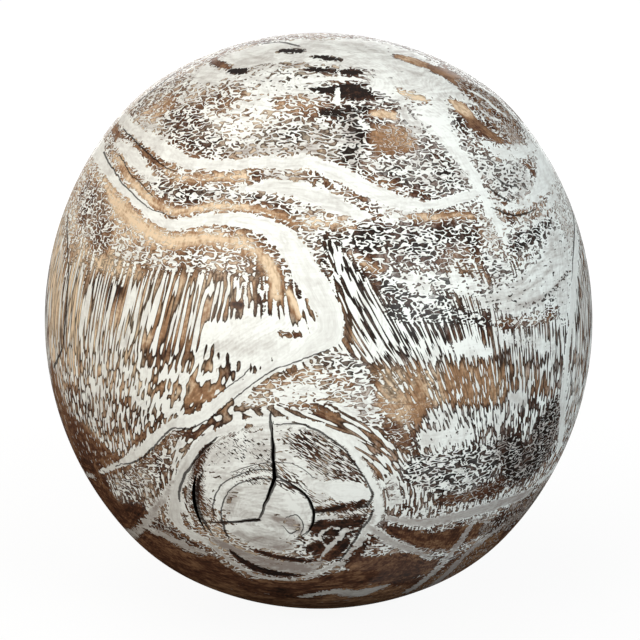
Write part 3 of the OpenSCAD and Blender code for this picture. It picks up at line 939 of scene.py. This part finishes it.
    "tan beside the loop": (dict(cover=0.38, tone=0.85, roundness=1), 0.8, seen(
        (345, 256, 8), (362, 262, 10), (378, 271, 9))),
    "dark worms at the right": (dict(cover=0.54, tone=-0.02, roundness=1), 1.2, seen(
        (514, 245, 18), (532, 236, 20), (550, 226, 14))),
    "white wave": (dict(cover=1.05, tone=0.05, grime_and_shade=0.12, roundness=1), 1.0, seen(
        (380, 277, 5), (410, 280, 8), (440, 281, 12), (480, 290, 14))),
    "white cloud at the right": (dict(cover=1.1, tone=0.08, grime_and_shade=0.3, roundness=1), 1.8, seen(
        (490, 298, 20), (518, 296, 34), (545, 280, 36), (561, 250, 20), (560, 303, 20))),
    "first wisp in the cloud": (dict(grime_and_shade=0.85), 0.5, seen(
        (497, 300, 2), (515, 296, 3), (535, 283, 3), (552, 268, 2))),
    "second wisp in the cloud": (dict(grime_and_shade=0.8), 0.5, seen(
        (505, 312, 2), (528, 305, 3), (550, 292, 3), (566, 277, 2))),
    "third wisp in the cloud": (dict(grime_and_shade=0.8), 0.5, seen(
        (508, 286, 2), (526, 276, 3), (543, 260, 2), (553, 247, 1))),
    "dark wisp in the cloud": (dict(cover=0.78, tone=0.05, grime_and_shade=0.6), 0.5, seen(
        (538, 303, 2), (555, 290, 3), (568, 271, 2))),
    "pale under the streak": (dict(cover=0.88, tone=0.1, grime_and_shade=0.25, roundness=1), 1.0, seen(
        (486, 256, 8), (494, 266, 16), (506, 272, 14))),
    "stripes beside the loop": (dict(cover=0.57, tone=0.05, roundness=0, shortness=0), 1.2, seen(
        (330, 246, 10), (345, 268, 20), (358, 295, 26), (375, 325, 30))),
    "worms over the stripes": (dict(cover=0.58, tone=0.03, roundness=1), 1.2, seen(
        (385, 290, 12), (415, 297, 16), (448, 302, 14))),
    "dark stripes": (dict(cover=0.55, tone=0.04, roundness=0.7, shortness=0.6), 1.2, seen(
        (395, 312, 20), (425, 316, 22), (455, 316, 18), (485, 322, 14))),
    "right stripes": (dict(cover=0.56, tone=0.08, roundness=0, shortness=0), 1.5, seen(
        (385, 345, 32), (415, 346, 34), (440, 345, 24))),
    "tan worms at the right": (dict(cover=0.44, tone=0.4, roundness=1), 1.0, seen(
        (500, 325, 12), (530, 320, 14), (555, 312, 12))),
    "white clumps": (dict(cover=1.0, grime_and_shade=0.15, roundness=0.5), 0.8, seen(
        (450, 347, 10), (468, 348, 14), (488, 352, 10))),
    "second white clumps": (dict(cover=0.76, tone=0.3, grime_and_shade=0.2, roundness=0.4), 0.8, seen(
        (505, 338, 12), (530, 342, 14), (552, 345, 12))),
    "brown field": (dict(cover=0.28, tone=0.76, roundness=0.4), 1.6, seen(
        (380, 376, 24), (400, 388, 58), (422, 391, 54), (444, 386, 34))),
    "brown field below": (dict(cover=0.22, tone=0.68, roundness=1), 1.2, seen(
        (385, 404, 16), (402, 414, 24), (425, 408, 16))),
    "dark foot of the brown field": (dict(cover=0.26, tone=0.35, roundness=1), 1.0, seen(
        (392, 430, 18), (405, 440, 20), (412, 448, 10))),
    "second brown field": (dict(cover=0.28, tone=0.7, roundness=0, shortness=0), 1.4, seen(
        (448, 378, 30), (472, 386, 50), (496, 388, 40))),
    "right dashes": (dict(cover=0.36, tone=0.5, grime_and_shade=0.3, roundness=0), 1.5, seen(
        (515, 375, 26), (540, 385, 26), (554, 390, 14))),
    "grey clump": (dict(cover=0.95, grime_and_shade=0.45), 0.8, seen((512, 396, 10), (524, 402, 14))),
    "dashes under the brown": (dict(cover=0.64, tone=0.2, roundness=0, shortness=0.6), 1.2, seen(
        (432, 418, 16), (465, 420, 20), (500, 418, 16))),
    "white under the brown": (dict(cover=0.9, tone=0.15, grime_and_shade=0.2, roundness=0.5), 1.0, seen(
        (422, 440, 14), (445, 438, 16), (470, 436, 12))),
    "worms at the lower right": (dict(cover=0.58, tone=0.02, grime_and_shade=0.15, roundness=1, shortness=1), 1.5, seen(
        (418, 470, 30), (450, 472, 44), (482, 465, 36))),
    "pale beside the ring": (dict(cover=1.0, grime_and_shade=0.35, roundness=1), 0.8, seen(
        (392, 480, 12), (397, 500, 14))),
    "dark at the lower right": (dict(cover=0.4, tone=0.0, grime_and_shade=0.8, roundness=1), 2.0, seen(
        (505, 445, 26), (522, 465, 34), (540, 445, 30), (552, 420, 18))),
    # Dark wood and greyed lime at the lower right, partly the wood's own colour and partly painted shade
    "dark over the greyed band": (dict(cover=0.26, tone=0.3, grime_and_shade=0.6, roundness=1), 0.8, seen(
        (440, 500, 8), (470, 496, 10), (500, 485, 12))),
    "dark below the greyed band": (dict(cover=0.08, tone=0.34, grime_and_shade=0.7), 0.8, seen(
        (390, 529, 8), (425, 540, 14), (455, 538, 16), (482, 528, 10))),
    "grey wash under the greyed band": (dict(cover=0.46, tone=0.35, grime_and_shade=0.85, roundness=0.7), 1.0, seen(
        (488, 526, 9), (508, 519, 13), (526, 508, 12), (541, 496, 8))),
    "dark tongue": (dict(cover=0.03, tone=0.34), 0.7, seen(
        (355, 563, 14), (380, 569, 26), (405, 569, 26), (425, 567, 12))),
    "dark between the strands": (dict(cover=0.14, tone=0.2, grime_and_shade=0.8), 0.7, seen(
        (344, 562, 8), (356, 552, 9), (368, 541, 8), (378, 538, 4))),
    # Greyed streaks at the bottom right, partly soil and partly painted shade
    "streaks at the bottom right": (dict(cover=0.24, tone=0.45, grime_and_shade=0.9, roundness=0), 0.8, seen(
        (412, 592, 8), (436, 583, 10), (460, 566, 13), (486, 548, 12))),
}

# The plain finish that the zones lie on. It varies more behind, where no zone was seen.
BEHIND_FADE = 20.0
PLAIN_COVER = dict(base=0.5, spread=0.16, spread_behind=0.2, frequency=2.6, seed=3.1)
PLAIN_TONE = dict(base=0.42, spread=0.3, spread_behind=0.15, frequency=3.1, seed=9.4)
PLAIN_GRIME = 0.12
WANDER_FREQUENCY = 1.9
WANDER_SEED = 5.2
DASH_BELT_DROP = 0.1
DASH_BELT_WANDER = 0.35
DASH_BELT_HALF = 16
DASH_BELT_FADE = 14
SHORT_DASH_TOP = 5
SHORT_DASH_WANDER = 25
SHORT_DASH_FADE = 7
FINE_DASH_LEFT = 3
FINE_DASH_FADE = 4

behind = np.clip(places[:, 1] / BEHIND_FADE, 0, 1)
wander = behind * noise_at(aims, WANDER_FREQUENCY, WANDER_SEED)[:, 0]


def plain_field(base, spread, spread_behind, frequency, seed):
    """A value of the finish that varies smoothly over the ball."""
    return base + (spread + spread_behind * behind) * noise_at(aims, frequency, seed)[:, 0]


cover = plain_field(**PLAIN_COVER)
tone = plain_field(**PLAIN_TONE)
# The grime field greys the lime: grime, and on the zones low on the ball painted shade as well
grime_and_shade = np.full(vertex_count, PLAIN_GRIME)
from_belt = np.degrees(np.abs(elevations + DASH_BELT_DROP + DASH_BELT_WANDER * wander))
roundness = np.clip((from_belt - DASH_BELT_HALF) / DASH_BELT_FADE, 0, 1)
under_top = SHORT_DASH_TOP - np.degrees(elevations) + SHORT_DASH_WANDER * wander
shortness = np.clip(under_top / SHORT_DASH_FADE, 0, 1)
fineness = np.clip((places[:, 0] - FINE_DASH_LEFT) / FINE_DASH_FADE, 0, 1)


def paint(route, softness, **values):
    """Lays values of the finish, painted shade among them, over what a route encloses, with a soft edge."""
    inside = np.clip(0.5 - edge_distance(route) / (2 * softness), 0, 1)
    inside = inside * inside * (3 - 2 * inside)
    for name, value in values.items():
        field = finish_and_shade_fields[name]
        field += (value - field) * inside


finish_and_shade_fields = {
    "cover": cover, "tone": tone, "grime_and_shade": grime_and_shade, "roundness": roundness, "shortness": shortness,
}
for values, softness, route in ZONES.values():
    paint(route, softness, **values)

band, fraying, soil_and_shade = nearest_band(LIME_BANDS)
line_away, line_offset = nearest_line(DARK_LINES)
below = np.maximum(turned_radius(elevations) / MM - reaches, 0)

# Fibres run up the ball, lean a little, part round the knot, and slope across its face
along_out = places @ knot_out
beside = places - np.outer(along_out, knot_out)
gap = np.maximum(np.linalg.norm(beside, axis=1), KNOT_PUSH_FLOOR)
outside = np.clip((gap - KNOT_PUSH_FLOOR) / (KNOT_PUSH_RADIUS - KNOT_PUSH_FLOOR), 0, 1)
push = np.clip(along_out / heart_out, 0, 1) * outside * KNOT_PUSH_SHARE * (KNOT_PUSH_RADIUS / gap) ** 2
parted = places - beside * np.minimum(push, KNOT_PUSH_SHARE)[:, None]
lean = np.zeros(vertex_count)
for amount, middle, spread in FIBRE_LEANS:
    lean += amount * np.exp(-((places[:, 0] - middle) / spread) ** 2)
front = np.clip(0.5 - places[:, 1] / BEHIND_FADE, 0, 1)
parted[:, 0] -= lean * front * np.clip(LEAN_TOP - places[:, 2], *LEAN_RANGE)
fibre_right = np.cross(np.array([0.0, 1.0, 0.0]), FIBRE_AXIS)
fibre_right /= np.linalg.norm(fibre_right)
fibre_back = np.cross(FIBRE_AXIS, fibre_right)
fibre = np.stack([parted @ fibre_right, parted @ fibre_back, parted @ FIBRE_AXIS], axis=1)
face_spot = np.stack([places @ knot_right - KNOT_FACE_SHIFT, places @ knot_up], axis=1)
on_face = (np.linalg.norm(face_spot, axis=1) < KNOT_FACE_RADIUS) & (along_out > 0)
slope = towards(KNOT_FACE_SLOPE)
face_fibre = np.stack([face_spot @ [slope[1], -slope[0]], along_out, face_spot @ slope], axis=1)
fibre[on_face] = face_fibre[on_face] * KNOT_FACE_FINENESS


def store(name, values):
    """Keeps values with the mesh, one vector for each vertex."""
    attribute = ball.data.attributes.new(name, "FLOAT_VECTOR", "POINT")
    attribute.data.foreach_set("vector", np.ascontiguousarray(values, dtype=np.float32).ravel())


store("fibre", fibre)
store("figure", np.stack([band, line_offset, below], axis=1))
store("finish_and_shade", np.stack([cover, tone, grime_and_shade], axis=1))
store("grain", np.stack([roundness, line_away, shortness], axis=1))
store("wear_and_shade", np.stack([fraying, soil_and_shade, fineness], axis=1))


# Ball: limewashed wood
# Brown-black stained hardwood with white lime in its grain, under a clear satin varnish.
# The bare wood goes from near black through brown to golden tan, the lime from white to a dim grey that
# stands for grime and, low on the ball, for painted shade.
NEAR_BLACK = (0.017, 0.0116, 0.0097, 1)
DARK_BROWN = (0.085, 0.037, 0.022, 1)
MID_BROWN = (0.315, 0.178, 0.097, 1)
GOLDEN_TAN = (0.74, 0.575, 0.405, 1)
CLEAN_LIME = (0.835, 0.845, 0.82, 1)
GRIMED_AND_SHADED_LIME = (0.31, 0.265, 0.242, 1)
WARM_HAZE = (0.80, 0.70, 0.55, 1)
DARK_BROWN_STOP = 0.3
MID_BROWN_STOP = 0.68

# Noises: how each is drawn out along the axes, its scale and its detail
LONG_DASHES = dict(draw=(1, 1, 0.055), scale=1.85, detail=0.5, distortion=0.1)
SHORT_DASHES = dict(draw=(1, 1, 0.16), scale=1.8, detail=0.5, distortion=0.15)
FINE_DASHES = dict(draw=(1, 1, 0.05), scale=2.3, detail=1.2, distortion=0.1)
WORMS = dict(draw=(0.78, 0.78, 1.5), scale=1.0, detail=0.7, distortion=0.6)
STREAKS = dict(draw=(1, 1, 0.05), scale=2.6, detail=3.0)
CLOUDS = dict(draw=(1, 1, 0.4), scale=0.22, detail=3.0)
SPECKS = dict(draw=(1, 1, 0.5), scale=2.4, detail=2.0)
WAVES = dict(draw=(0.22, 0.22, 1.3), scale=0.9, detail=2.0, distortion=1.2)
LAYERS = dict(draw=(1, 1, 1), scale=2.2, detail=1.5)
LAYER_BREAKS = 4.0

# Where the lime lies. A range of two gives a ramp's ends, and one of four its ends and its values there.
BAND_LEE = (6.0, 1.5)
FRAY_SWING = 1.8
FRAY_LEAST = 0.6
BAND_EDGE = 0.12
BAND_EDGE_FRAYED = 0.6
BAND_COVER = 1.5
COVER_CLOUDS = 1.8
COVER_LAYERS = 0.35
LIME_WEAR = 0.045
LIME_EDGE = (-0.014, 0.014)
DASH_SPREAD = 0.4
WORM_WIDTH = 0.125
WORM_SPECKS = 0.04
FULL_COVER = (0.9, 1.3, 0.0, 0.25)
SCANT_COVER = (0.02, 0.25, -0.06, 0.0)

# Dark fringe round the lime, and the thin haze of lime left on the bare wood
FRINGE_WIDTH = 0.2
FRINGE_LESS_AT_WORMS = 0.09
FRINGE_FADE = (-1.0, -0.1)
FRINGE_COVER = (0.08, 0.32)
FRINGE_DEPTH = 0.9
FRINGE_PALER_AT_WORMS = 0.35
HAZE_CLOUDS = 0.8
HAZE_SPECKS = 0.7
HAZE_COVER = (0.3, 0.95, 0.0, 0.6)
HAZE_TONE = (0.06, 0.3, 0.15, 1.0)

# How far each noise shifts the wood's tone and the lime's grime
TONE_STREAKS = 0.5
TONE_WORMS = 0.3
TONE_SPECKS = 0.25
TONE_WAVES = 0.1
TONE_WAVES_GRIMED = 0.5
TONE_CLOUDS = 0.6
TONE_LAYERS = 1.6
GRIME_WIPED = 0.06
GRIME_CLOUDS = 0.9
GRIME_LAYERS = 0.8
GRIME_STREAKS = 0.15
GRIME_SPECKS = 0.4
GRIME_WAVES = 0.3
GRIME_WAVES_AT_WORMS = 0.9
GRIME_EVENED_IN_BANDS = 0.5

# Dark lines, across in half widths and away in millimetres, and the cracks' walls, painted near black as
# shade
LINE_RAGGEDNESS = 0.8
LINE_EDGE = (1.35, 0.85)
LINE_REACH = (0.62, 0.45)
LINE_DEPTH = 0.88
CRACK_SHADE = (0.02, 0.15)

BARE_ROUGHNESS = 0.42
LIME_ROUGHNESS = 0.58
WOOD_SPECULAR = 0.0
VARNISH_ROUGHNESS = 0.16
VARNISH_WEIGHT = 0.12
VARNISH_GRIMED = (0.2, 0.7)
PORE_STRENGTH = 0.25
PORE_DEPTH = 0.1 * MM

limewashed_wood.use_nodes = True
wood = limewashed_wood.node_tree
wood.nodes.clear()


def stored(name):
    node = wood.nodes.new("ShaderNodeAttribute")
    node.attribute_name = name
    return Wire(node.outputs["Vector"])


def grain_noise(vector, draw, scale, detail, distortion=0.0):
    """Noise in the wood's own millimetres, drawn out across or along the fibres."""
    drawn = vector.vector("MULTIPLY", draw)
    node = wood.nodes.new("ShaderNodeTexNoise")
    plug(wood, node.inputs["Vector"], drawn)
    node.inputs["Scale"].default_value = scale
    node.inputs["Detail"].default_value = detail
    node.inputs["Distortion"].default_value = distortion
    return Wire(node.outputs["Fac"])


def ramp(value, low, high, start=0.0, stop=1.0):
    """Eases from start to stop while a value goes from low to high."""
    return add_node(wood, "ShaderNodeMapRange", value, low, high, start, stop,
                    interpolation_type="SMOOTHSTEP")


def blend(one, other, share):
    return one + (other - one) * share


def swing(grain, amount):
    """A noise's swing to both sides of its middle."""
    return (grain - 0.5) * amount


def tint(share, one, other):
    """Mixes two colours by a share."""
    node = wood.nodes.new("ShaderNodeMix")
    node.data_type = "RGBA"
    plug(wood, node.inputs[0], share)
    plug(wood, node.inputs[6], one)
    plug(wood, node.inputs[7], other)
    return Wire(node.outputs[2])


fibre_at = stored("fibre")
place_at = add_node(wood, "ShaderNodeTexCoord", out=3).vector("MULTIPLY", (1 / MM, 1 / MM, 1 / MM))
band_at, line_offset_at, below_at = stored("figure").parts()
cover_at, tone_at, grime_and_shade_at = stored("finish_and_shade").parts()
round_at, line_away_at, short_at = stored("grain").parts()
fraying_at, soil_and_shade_at, fine_at = stored("wear_and_shade").parts()

long_dashes = grain_noise(fibre_at, **LONG_DASHES)
short_dashes = grain_noise(fibre_at, **SHORT_DASHES)
fine_dashes = grain_noise(fibre_at, **FINE_DASHES)
dashes = blend(blend(long_dashes, fine_dashes, fine_at), short_dashes, short_at)
winding = grain_noise(place_at, **WORMS)
streaks = grain_noise(fibre_at, **STREAKS)
clouds = grain_noise(place_at, **CLOUDS)
specks = grain_noise(place_at, **SPECKS)
waves = grain_noise(place_at, **WAVES)
layers = grain_noise(combine(wood, band_at, clouds * LAYER_BREAKS, 0.0), **LAYERS)

# Lime: whole bands with frayed edges, then dashes along the fibres or worms, as full as the cover says
frayed = fraying_at * FRAY_SWING + FRAY_LEAST
ragged = band_at + swing(winding, frayed) + swing(specks, frayed)
in_band = ramp(ragged / (fraying_at * BAND_EDGE_FRAYED + BAND_EDGE), 1.0, -1.0)
unsure = (cover_at * (1.0 - cover_at)).math("MAXIMUM", 0.0) * COVER_CLOUDS
layered = swing(layers, COVER_LAYERS) * ramp(band_at, *BAND_LEE)
cover_here = blend(cover_at - LIME_WEAR + swing(clouds, unsure) + layered, BAND_COVER, in_band)
in_dash = dashes - 0.5 - (0.5 - cover_here) * DASH_SPREAD
in_worm = cover_here * WORM_WIDTH - (winding - 0.5).math("ABSOLUTE") + swing(specks, WORM_SPECKS)
in_worm = in_worm + ramp(cover_here, *FULL_COVER) + ramp(cover_here, *SCANT_COVER)
in_lime = blend(in_dash, in_worm, round_at)
lime = ramp(in_lime, *LIME_EDGE)

# Bare wood, with a dark fringe round the lime and a thin haze
outline = in_lime / (round_at * -FRINGE_LESS_AT_WORMS + FRINGE_WIDTH)
fringe = ramp(outline, *FRINGE_FADE) * (1.0 - lime) * ramp(cover_here, *FRINGE_COVER)
tone_here = tone_at + swing(streaks, TONE_STREAKS) + swing(winding, TONE_WORMS) + swing(specks, TONE_SPECKS)
tone_here = tone_here + swing(waves, grime_and_shade_at * TONE_WAVES_GRIMED + TONE_WAVES)
tone_here = tone_here + swing(clouds, TONE_CLOUDS) + layered * TONE_LAYERS
wood_ramp = wood.nodes.new("ShaderNodeValToRGB")
wood_ramp.color_ramp.elements[0].color = NEAR_BLACK
wood_ramp.color_ramp.elements[1].color = GOLDEN_TAN
for stop, colour in ((DARK_BROWN_STOP, DARK_BROWN), (MID_BROWN_STOP, MID_BROWN)):
    wood_ramp.color_ramp.elements.new(stop).color = colour
plug(wood, wood_ramp.inputs[0], tone_here)
bare = Wire(wood_ramp.outputs[0])
bare = tint(fringe * (FRINGE_DEPTH - round_at * FRINGE_PALER_AT_WORMS), bare, NEAR_BLACK)
haze = ramp(cover_here + swing(clouds, HAZE_CLOUDS) + swing(specks, HAZE_SPECKS), *HAZE_COVER)
haze = haze * ramp(tone_at, *HAZE_TONE)
haze_colour = tint(fine_at, WARM_HAZE, CLEAN_LIME)
bare = tint(haze * (1.0 - fringe), bare, haze_colour)

# Grime on the lime, and painted shade on it low on the ball, then the dark lines and the cracks' walls over
# all
lime_grime_and_shade = blend(grime_and_shade_at, soil_and_shade_at, in_band) - GRIME_WIPED
lime_grime_and_shade = lime_grime_and_shade + swing(clouds, GRIME_CLOUDS) + swing(layers, GRIME_LAYERS)
mottled = swing(streaks, GRIME_STREAKS) + swing(specks, GRIME_SPECKS)
mottled = mottled + swing(waves, round_at * GRIME_WAVES_AT_WORMS + GRIME_WAVES)
lime_grime_and_shade = lime_grime_and_shade + mottled * (1.0 - in_band * GRIME_EVENED_IN_BANDS)
# The lime greys with grime, and low on the ball with painted shade
lime_colour = tint(lime_grime_and_shade, CLEAN_LIME, GRIMED_AND_SHADED_LIME)
surface = tint(lime, bare, lime_colour)
across_line = line_offset_at.math("ABSOLUTE") + swing(specks, LINE_RAGGEDNESS)
inked = ramp(across_line, *LINE_EDGE) * ramp(line_away_at, *LINE_REACH)
surface = tint(inked * LINE_DEPTH, surface, NEAR_BLACK)
# Painted shade in the cracks: their walls go near black a little way below the surface
cracked = ramp(below_at, *CRACK_SHADE)
surface = tint(cracked, surface, NEAR_BLACK)

shader = wood.nodes.new("ShaderNodeBsdfPrincipled")
plug(wood, shader.inputs["Base Color"], surface)
roughness = ramp(lime, 0.0, 1.0, BARE_ROUGHNESS, LIME_ROUGHNESS)
plug(wood, shader.inputs["Roughness"], blend(roughness, 1.0, cracked))
shader.inputs["Specular IOR Level"].default_value = WOOD_SPECULAR
varnish = (1.0 - cracked) * ramp(grime_and_shade_at, *VARNISH_GRIMED, VARNISH_WEIGHT, 0.0)
plug(wood, shader.inputs["Coat Weight"], varnish)
shader.inputs["Coat Roughness"].default_value = VARNISH_ROUGHNESS
bump = wood.nodes.new("ShaderNodeBump")
bump.inputs["Strength"].default_value = PORE_STRENGTH
bump.inputs["Distance"].default_value = PORE_DEPTH
plug(wood, bump.inputs["Height"], lime * -1.0)
wood.links.new(bump.outputs[0], shader.inputs["Normal"])
output = wood.nodes.new("ShaderNodeOutputMaterial")
wood.links.new(shader.outputs[0], output.inputs["Surface"])

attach(ball, "root")
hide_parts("ball")


# Studio
# A plain pale floor and soft lamps round the ball, with a white ground behind it.
FLOOR_SIZE = 6.0
FLOOR_GREY = 0.08
FLOOR_GLOW = 0.92
FLOOR_FADE = (0.08, 0.35)
SKY_STRENGTH = 0.17
SOFTBOXES = {
    "key softbox": dict(spot=(-0.30, -0.15, 0.85), size=0.8, power=3.45, colour=(1.0, 0.965, 0.90)),
    "left softbox": dict(spot=(-0.65, -0.82, 0.29), size=0.5, power=7.9, colour=(1.0, 0.945, 0.85)),
    "right softbox": dict(spot=(0.70, -0.79, 0.29), size=0.5, power=9.0, colour=(0.90, 0.98, 1.0)),
    "back softbox": dict(spot=(0.0, 1.2, 0.1), size=0.8, power=12.0, colour=(1.0, 1.0, 1.0)),
}

bpy.context.scene.view_settings.view_transform = "Standard"

world = bpy.data.worlds.new("studio")
world.use_nodes = True
bpy.context.scene.world = world
sky = world.node_tree
sky.nodes.clear()


def seen_white(tree):
    """One for rays from the camera, off gloss or through glass, which see a white ground."""
    path = tree.nodes.new("ShaderNodeLightPath")
    rays = ("Camera", "Glossy", "Transmission")
    straight, gloss, glass = [Wire(path.outputs[f"Is {ray} Ray"]) for ray in rays]
    return straight.math("MAXIMUM", gloss).math("MAXIMUM", glass)


strength = add_node(sky, "ShaderNodeMapRange", seen_white(sky), 0, 1, SKY_STRENGTH, 1.0)
ground = sky.nodes.new("ShaderNodeBackground")
plug(sky, ground.inputs["Strength"], strength)
ground.inputs["Color"].default_value = (1, 1, 1, 1)
sky_out = sky.nodes.new("ShaderNodeOutputWorld")
sky.links.new(ground.outputs[0], sky_out.inputs[0])


def softbox(name, spot, size, power, colour):
    """A square lamp at a spot, facing the ball."""
    lamp = bpy.data.lights.new(name, "AREA")
    lamp.shape = "SQUARE"
    lamp.size = size
    lamp.energy = power
    lamp.color = colour
    piece = bpy.data.objects.new(name, lamp)
    piece.location = spot
    piece.rotation_euler = (Vector() - Vector(spot)).to_track_quat("-Z", "Y").to_euler()
    bpy.context.scene.collection.objects.link(piece)


for lamp_name, lamp_sizes in SOFTBOXES.items():
    softbox(lamp_name, **lamp_sizes)

floor_mesh = bpy.data.meshes.new("floor")
floor_z = ball_low.z
edge = FLOOR_SIZE / 2
floor_mesh.from_pydata([(-edge, -edge, floor_z), (edge, -edge, floor_z), (edge, edge, floor_z),
                        (-edge, edge, floor_z)], [], [(0, 1, 2, 3)])
floor = bpy.data.objects.new("floor", floor_mesh)
bpy.context.scene.collection.objects.link(floor)
floor_paint = bpy.data.materials.new("floor")
floor_paint.use_nodes = True
floor_tree = floor_paint.node_tree
floor_shader = floor_tree.nodes["Principled BSDF"]
from_ball = add_node(floor_tree, "ShaderNodeTexCoord", out=3).vector("LENGTH", out=1)
clear_of_ball = add_node(floor_tree, "ShaderNodeMapRange", from_ball, *FLOOR_FADE, FLOOR_GLOW, 1.0)
plug(floor_tree, floor_shader.inputs["Emission Strength"], seen_white(floor_tree) * clear_of_ball)
floor_shader.inputs["Emission Color"].default_value = (1, 1, 1, 1)
floor_shader.inputs["Base Color"].default_value = (FLOOR_GREY, FLOOR_GREY, FLOOR_GREY, 1)
floor_shader.inputs["Roughness"].default_value = 1.0
floor_shader.inputs["Specular IOR Level"].default_value = 0.0
floor.data.materials.append(floor_paint)
